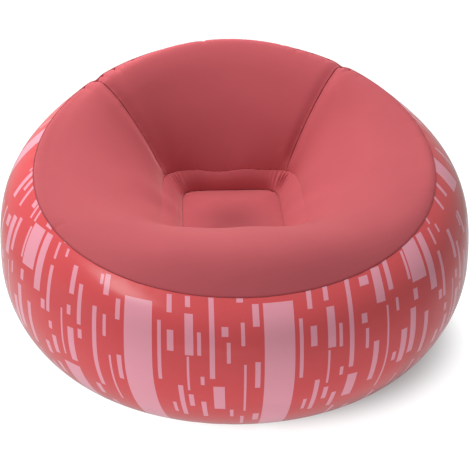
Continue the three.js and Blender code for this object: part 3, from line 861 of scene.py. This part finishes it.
# %% Node groups
def new_group(name, inputs, outputs):
    """A node group, what it is given and what it puts out. A name and a kind make each socket."""
    group = bpy.data.node_groups.new(name, "ShaderNodeTree")
    for way, sockets in (("INPUT", inputs), ("OUTPUT", outputs)):
        for label, kind in sockets.items():
            group.interface.new_socket(label, in_out=way, socket_type="NodeSocket" + kind)
    return group, group.nodes.new("NodeGroupInput").outputs, group.nodes.new("NodeGroupOutput").inputs


def make_grain_group():
    """Fine bumps from noise, as a normal."""
    wanted = {"Vector": "Vector", "Scale": "Float", "Strength": "Float", "Height": "Float"}
    group, given, made = new_group("fine_grain", wanted, {"Normal": "Vector"})
    fine = new_node(group, "TexNoise", {
        "Vector": given["Vector"], "Scale": given["Scale"], "Detail": 3})
    bump = new_node(group, "Bump", {
        "Height": fine.outputs["Fac"], "Strength": given["Strength"], "Distance": given["Height"]})
    feed(group, made["Normal"], bump.outputs["Normal"])
    return group


def make_patch_group():
    """Broad soft patches from 0 to 1, for nap and wear."""
    wanted = {"Vector": "Vector", "Scale": "Float", "Contrast": "Float"}
    group, given, made = new_group("soft_patches", wanted, {"Patch": "Float"})
    noise = new_node(group, "TexNoise", {
        "Vector": given["Vector"], "Scale": given["Scale"], "Detail": 4, "Roughness": 0.55})
    centred = maths(group, "SUBTRACT", noise.outputs["Fac"], 0.5)
    spread = maths(group, "MULTIPLY", centred, given["Contrast"])
    feed(group, made["Patch"], maths(group, "ADD", spread, 0.5, clamp=True))
    return group


GRAIN = make_grain_group()
PATCH = make_patch_group()
print("node groups:", GRAIN.name, PATCH.name)

# %% [markdown]
# ### Flock
# The colour drifts a little between patches, and a far finer noise stands for the fibre tips. Sheen
# gives the pale bloom on edges that turn away from the viewer. On the seat a soft patch of painted
# shade darkens the colour at the front middle, deep in the well.

# %% Flock
FLOCK_DARK = linear(182, 84, 92)
FLOCK_LIGHT = linear(199, 97, 103)
TIP_SHADE = 0.84
TIP_SHARE = 0.4
# Painted shade: a soft patch on the front middle of the seat, where the flock colour is scaled down.
PAINTED_SHADE_CENTRE = (0.0, 0.050, SEAT_HEIGHT)
PAINTED_SHADE_REACH = (0.0, 0.160)
PAINTED_SHADE_LEVEL = 0.66


def start_material(name):
    """A material, its node tree and the object's own coordinates, on which patterns are laid."""
    material = bpy.data.materials.new(name)
    material.use_nodes = True
    tree = material.node_tree
    return material, tree, new_node(tree, "TexCoord", {}).outputs["Object"]


def set_shader(tree, inputs):
    """Feeds the Principled shader that a new material starts with."""
    for name, value in inputs.items():
        feed(tree, tree.nodes["Principled BSDF"].inputs[name], value)


def grain(tree, place, scale, strength, height):
    inputs = {"Vector": place, "Scale": scale, "Strength": strength, "Height": height}
    return new_node(tree, "Group", inputs, node_tree=GRAIN).outputs["Normal"]


def patches(tree, place, scale, contrast):
    inputs = {"Vector": place, "Scale": scale, "Contrast": contrast}
    return new_node(tree, "Group", inputs, node_tree=PATCH).outputs["Patch"]


def make_flock(name, with_painted_shade=False):
    material, tree, place = start_material(name)
    nap = blend_colours(tree, patches(tree, place, scale=5.0, contrast=1.5), FLOCK_DARK, FLOCK_LIGHT)
    shaded = tuple(TIP_SHADE * c for c in FLOCK_LIGHT[:3]) + (1.0,)
    tips = blend_colours(tree, patches(tree, place, scale=1900.0, contrast=1.6), shaded, FLOCK_LIGHT)
    colour = blend_colours(tree, TIP_SHARE, nap, tips)
    # Painted shade: the flock colour is darkened in a soft patch at the front middle of the seat.
    if with_painted_shade:
        shade = fade_from(tree, place, PAINTED_SHADE_CENTRE, PAINTED_SHADE_REACH, PAINTED_SHADE_LEVEL, 1.0)
        dimmed = new_node(tree, "VectorMath", {0: colour, "Scale": shade}, operation="SCALE")
        colour = dimmed.outputs["Vector"]
    set_shader(tree, {
        "Base Color": colour, "Normal": grain(tree, place, scale=1500.0, strength=0.25, height=0.0004),
        "Roughness": 0.95, "Specular IOR Level": 0.15,
        "Sheen Weight": 0.8, "Sheen Roughness": 0.35, "Sheen Tint": linear(244, 176, 176)})
    return material


flock = make_flock("flock")
seat_flock_with_painted_shade = make_flock("seat_flock_with_painted_shade", with_painted_shade=True)
print("flock:", flock.name, seat_flock_with_painted_shade.name)

# %% [markdown]
# ### The print
# The print is a common one: upright bars of many widths, broken into long and short pieces. A bar
# is a pair of Compare nodes, one across and one up the strip. The bars stand in a repeat that is a
# metre long and half a metre high, and each width of bar has its own list, in millimetres: where
# its middle stands along the repeat, where it starts, and where it ends. The repeat starts a little
# before its first bar, so that no bar is cut where the repeat closes.

# %% The bars of one repeat
PRINT_LENGTH = 1.0
PRINT_HEIGHT = 0.5
PRINT_START = -0.6
EDGE_ROOM = 0.012
MILLIMETRE = 0.001
BARS_BY_WIDTH = {
    64: ((370, 0, 435), (670, 0, 447)),
    50: ((33, 410, 500), (180, 90, 230)),
    24: ((62, 8, 74), (80, 376, 500), (543, 180, 255), (838, 180, 252), (873, 445, 468), (909, 397, 478)),
    18: ((0, 252, 360), (110, 30, 120), (840, 0, 66), (960, 20, 96), (197, 246, 331), (482, 328, 417),
         (783, 330, 417), (972, 236, 322)),
    14: ((20, 40, 150), (286, 12, 60), (870, 28, 118), (470, 10, 70), (12, 374, 397), (47, 230, 337),
         (105, 343, 364), (107, 228, 264), (123, 168, 208), (140, 244, 291), (197, 402, 464),
         (245, 155, 194), (290, 424, 473), (442, 334, 377), (557, 370, 391), (590, 451, 462),
         (622, 391, 446), (625, 120, 157), (743, 339, 381), (862, 365, 385), (892, 213, 319),
         (941, 415, 485)),
    11: ((85, 95, 190), (230, 0, 52), (260, 60, 130), (900, 0, 84), (935, 60, 150), (990, 90, 190),
         (124, 343, 441), (131, 305, 323), (192, 358, 378), (222, 345, 429), (224, 314, 335),
         (264, 198, 394), (322, 379, 423), (325, 240, 303), (440, 415, 460), (461, 142, 252),
         (480, 433, 461), (482, 186, 227), (508, 140, 205), (530, 276, 462), (624, 252, 316),
         (738, 420, 466), (754, 150, 256), (776, 433, 469), (778, 189, 229), (802, 148, 205),
         (830, 273, 473), (948, 250, 273)),
    8: ((0, 0, 84), (40, 100, 210), (140, 0, 90), (820, 60, 140), (978, 0, 70), (0, 420, 487),
        (125, 456, 496), (159, 472, 492), (275, 445, 469), (290, 338, 383), (418, 263, 395),
        (441, 153, 194), (503, 329, 377), (509, 258, 280), (564, 314, 358), (569, 144, 177),
        (594, 351, 401), (593, 90, 146), (716, 269, 401), (734, 158, 199), (804, 328, 377),
        (808, 257, 279), (868, 309, 353), (953, 368, 395)),
    5: ((170, 254, 366), (302, 159, 297), (479, 240, 325), (598, 172, 311), (777, 242, 325),
        (924, 175, 387)),
}


def in_repeat(tree, length, period):
    """Where a length falls in its repeat, in millimetres."""
    turns = maths(tree, "DIVIDE", length, period)
    return maths(tree, "MULTIPLY", maths(tree, "FRACT", turns), period / MILLIMETRE)


def make_print_group():
    """The mask of all bars in one repeat: 1 on a bar, 0 between them."""
    group, given, made = new_group("broken_bars", {"Along": "Float", "Up": "Float"}, {"Bars": "Float"})
    shifted = maths(group, "SUBTRACT", given["Along"], PRINT_START - EDGE_ROOM)
    along = in_repeat(group, shifted, PRINT_LENGTH)
    up = in_repeat(group, given["Up"], PRINT_HEIGHT)
    mask = 0.0
    for width, bars in BARS_BY_WIDTH.items():
        for middle, bottom, top in bars:
            beside = maths(group, "COMPARE", along, middle + EDGE_ROOM / MILLIMETRE, width / 2)
            level = maths(group, "COMPARE", up, (bottom + top) / 2, (top - bottom) / 2)
            mask = maths(group, "MAXIMUM", mask, maths(group, "MULTIPLY", beside, level))
    feed(group, made["Bars"], mask)
    return group


PRINT = make_print_group()
print("bars in one repeat:", sum(len(bars) for bars in BARS_BY_WIDTH.values()))

# %% [markdown]
# ### Printed gloss
# The gloss sheet is printed on its back, so both inks lie under the same clear, wet-looking face.
# The film isn't perfectly flat: slow waves in its surface bend the reflections.

# %% Printed gloss
def make_printed_gloss(name, ground, bar):
    material, tree, place = start_material(name)
    uv = new_node(tree, "UVMap", {}, uv_map="print")
    split = new_node(tree, "SeparateXYZ", {"Vector": uv.outputs["UV"]}).outputs
    bars = new_node(tree, "Group", {"Along": split["X"], "Up": split["Y"]}, node_tree=PRINT)
    set_shader(tree, {
        "Base Color": blend_colours(tree, bars.outputs["Bars"], ground, bar), "Roughness": 0.2, "IOR": 1.42,
        "Normal": grain(tree, place, scale=14.0, strength=0.10, height=0.003)})
    return material


printed = make_printed_gloss("printed_gloss", linear(220, 79, 83), linear(238, 157, 174))
print("printed gloss nodes:", len(printed.node_tree.nodes))

# %% [markdown]
# ### Plain gloss, welds and the valve
# The base and the welds are the same PVC without print. Fused PVC is darker and denser than the
# sheet. The valve is moulded from soft white PVC, with black rubber seals. Each finish is two close
# colours in soft patches, a roughness, and a grain of one scale, strength and height.

# %% Plain finishes
PATCH_TIMES = 4
PATCH_CONTRAST = 1.4


def make_plastic(name, dark, light, roughness, scale, strength, height):
    material, tree, place = start_material(name)
    mask = patches(tree, place, scale / PATCH_TIMES, PATCH_CONTRAST)
    set_shader(tree, {
        "Base Color": blend_colours(tree, mask, linear(*dark), linear(*light)), "Roughness": roughness,
        "Normal": grain(tree, place, scale, strength, height)})
    return material


base_gloss = make_plastic("base_gloss", (176, 74, 78), (190, 84, 88), 0.3, 40, 0.1, 0.001)
fused = make_plastic("fused_weld", (118, 34, 44), (136, 46, 54), 0.35, 200, 0.2, 0.0005)
fused_rim = make_plastic("rim_weld_edge", (160, 60, 68), (178, 74, 82), 0.3, 200, 0.2, 0.0005)
tie_film = make_plastic("tie_film", (222, 212, 208), (232, 224, 220), 0.4, 60, 0.1, 0.001)
moulded = make_plastic("moulded_pvc", (228, 224, 218), (238, 235, 230), 0.38, 500, 0.15, 0.0002)
rubber = make_plastic("black_rubber", (38, 38, 38), (48, 48, 48), 0.7, 700, 0.3, 0.0003)
print("materials:", len(bpy.data.materials))

# %% [markdown]
# ## Hand the pieces to the bodies
# All but the moving parts of the valve belongs to the air envelope. Each soft piece stands for the
# plain solid of the same sheet. The sheets get their real thickness inwards. The ties and the valve
# keep their solids.

# %% Riding and slots
FLOCK_THICKNESS = 0.0009
FILM_THICKNESS = 0.0006
CAD_FINISHES = (
    (tie_film, ("seat_tie_front", "seat_tie_right", "seat_tie_back", "seat_tie_left")),
    (moulded, ("valve_flange", "valve_core", "valve_cap")),
    (rubber, ("valve_gasket", "check_flap")),
)


def give_thickness(piece, thickness):
    """A real sheet has two faces and an edge: the skin grows inwards."""
    solidify = piece.modifiers.new("sheet thickness", "SOLIDIFY")
    solidify.thickness = thickness
    solidify.offset = -1


def dress(piece, material, node, thickness=None):
    piece.data.materials.append(material)
    if thickness:
        give_thickness(piece, thickness)
    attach(piece, "envelope")
    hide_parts(node)


dress(arms_skin, flock, "arm_wrap_panel", FLOCK_THICKNESS)
dress(back_skin, flock, "back_panel", FLOCK_THICKNESS)
dress(band_skin, flock, "seat_band", FLOCK_THICKNESS)
dress(seat_skin, seat_flock_with_painted_shade, "seat_panel", FLOCK_THICKNESS)
dress(wall_skin, printed, "side_wall", FILM_THICKNESS)
dress(base_skin, base_gloss, "base_panel", FILM_THICKNESS)
for piece, material, node in ((rim_bead, fused_rim, "rim_weld"), (well_bead, flock, "well_weld"),
                              (seat_bead, flock, "seat_weld"), (base_bead, fused, "base_weld"),
                              (left_bead, fused, "back_weld_left"), (right_bead, fused, "back_weld_right"),
                              (join_bead, fused, "wall_join_weld")):
    dress(piece, material, node)
for material, nodes in CAD_FINISHES:
    for node in nodes:
        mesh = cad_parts[node].data
        mesh.materials.clear()
        mesh.materials.append(material)
print("solids that keep their form:", sum(len(nodes) for _, nodes in CAD_FINISHES))

# %% [markdown]
# ## Studio
# The chair stands on a floor that comes out white. More light would do that too, but it would wash
# out the chair. So the floor is a dim grey that holds the chair's shadow, and it glows for the
# camera. The glow falls off under the chair as a painted shadow, where a real floor would be in
# shade. Less of it reaches the chair, by bounces and in mirrored light.

# %% Floor
FLOOR_HALF = 6.0
FLOOR_GREY = (0.20, 0.26, 0.26, 1)
SHADOW_FROM = (0.09, 0.06, 0.0)
SHADOW_REACH = (0.38, 0.52)
DIM_GLOW = 0.30
OPEN_GLOW = 1.0
MIRRORED_GLOW = 0.50
BOUNCED_GLOW = 0.85

bm = bmesh.new()
bmesh.ops.create_grid(bm, x_segments=1, y_segments=1, size=FLOOR_HALF)
floor = finish_mesh("studio_floor", bm)

floor_material, tree, place = start_material("white_floor")
paths = new_node(tree, "LightPath", {}).outputs
mirrored = maths(tree, "MAXIMUM", paths["Is Glossy Ray"], paths["Is Transmission Ray"])
seen = maths(tree, "MULTIPLY_ADD", mirrored, MIRRORED_GLOW, paths["Is Camera Ray"])
seen = maths(tree, "MULTIPLY_ADD", paths["Is Diffuse Ray"], BOUNCED_GLOW, seen)
# Painted shadow: the floor's glow is dimmed close round the chair's base.
painted_floor_shadow = fade_from(tree, place, SHADOW_FROM, SHADOW_REACH, DIM_GLOW, OPEN_GLOW)
glow = new_node(tree, "Emission", {"Strength": maths(tree, "MULTIPLY", seen, painted_floor_shadow)})
grey = new_node(tree, "BsdfDiffuse", {"Color": FLOOR_GREY})
both = new_node(tree, "AddShader", {0: grey.outputs["BSDF"], 1: glow.outputs["Emission"]})
tree.nodes.remove(tree.nodes["Principled BSDF"])
feed(tree, tree.nodes["Material Output"].inputs["Surface"], both.outputs["Shader"])
floor.data.materials.append(floor_material)

# %% [markdown]
# ### Room
# The camera sees a white room behind the chair. As a light the same room is dim, so that the lamps
# shape the chair, and it is a little brighter in mirrored light, which puts a soft gloss on the wall.

# %% Room light
ROOM_LIGHT = 0.21
MIRRORED_ROOM = 0.55

world = bpy.data.worlds.new("studio")
bpy.context.scene.world = world
world.use_nodes = True
tree = world.node_tree
paths = new_node(tree, "LightPath", {}).outputs
strength = maths(tree, "MULTIPLY_ADD", paths["Is Glossy Ray"], MIRRORED_ROOM, ROOM_LIGHT)
strength = maths(tree, "MULTIPLY_ADD", paths["Is Camera Ray"], 1 - ROOM_LIGHT, strength)
feed(tree, tree.nodes["Background"].inputs["Color"], (1, 1, 1, 1))
feed(tree, tree.nodes["Background"].inputs["Strength"], strength)

# %% [markdown]
# ### Lamps
# Soft lamps from above, from the left and from behind make the tops of the arms bright, and a low
# one lifts the front. Only the small softbox shows in the gloss. The rest is hidden from mirrored
# light, or the wall would be full of white windows.

# %% Lamps
LAMP_AIM = Vector((0, 0, 0.35))


def soft_lamp(name, place, size, watts, mirrored=False):
    data = bpy.data.lights.new(name, "AREA")
    data.shape = "RECTANGLE"
    data.size = size[0]
    data.size_y = size[1]
    data.energy = watts
    lamp = bpy.data.objects.new(name, data)
    lamp.location = place
    lamp.rotation_euler = (LAMP_AIM - Vector(place)).to_track_quat("-Z", "Y").to_euler()
    lamp.visible_glossy = mirrored
    bpy.context.scene.collection.objects.link(lamp)


soft_lamp("small_softbox", place=(-0.90, 0.02, 2.60), size=(0.6, 0.4), watts=5, mirrored=True)
soft_lamp("left_panel", place=(-2.20, -0.60, 0.90), size=(1.6, 1.4), watts=16)
soft_lamp("front_fill", place=(-0.50, -2.80, 0.35), size=(1.8, 0.6), watts=8)
soft_lamp("overhead", place=(-0.38, 0.50, 1.75), size=(0.6, 0.6), watts=13)
soft_lamp("ceiling", place=(-0.30, 0.20, 2.60), size=(2.0, 2.0), watts=12)
soft_lamp("behind", place=(-0.20, 1.60, 2.10), size=(1.6, 1.0), watts=20)
print("lamps:", len(bpy.data.lights))

# %% [markdown]
# ## Camera
# The camera stands three metres off, higher than the back, and looks down through a long lens. It
# is fitted to the outline and the rim of the chair in the photograph, which has the same side.

# %% Camera
IMAGE_SIDE = 470
FOCAL_PIXELS = 1318.0
SENSOR = 36.0
CAMERA_PLACE = (-0.12656, -2.92058, 1.58513)
CAMERA_DOWN = 23.977
CAMERA_TURN = -2.499

camera_data = bpy.data.cameras.new("camera")
camera_data.sensor_width = SENSOR
camera_data.lens = FOCAL_PIXELS / IMAGE_SIDE * SENSOR
camera = bpy.data.objects.new("camera", camera_data)
camera.location = CAMERA_PLACE
camera.rotation_euler = (math.radians(90 - CAMERA_DOWN), 0, math.radians(CAMERA_TURN))
bpy.context.scene.collection.objects.link(camera)
bpy.context.scene.camera = camera
bpy.context.scene.view_settings.view_transform = "Standard"
print("lens", round(camera_data.lens, 2), "mm")
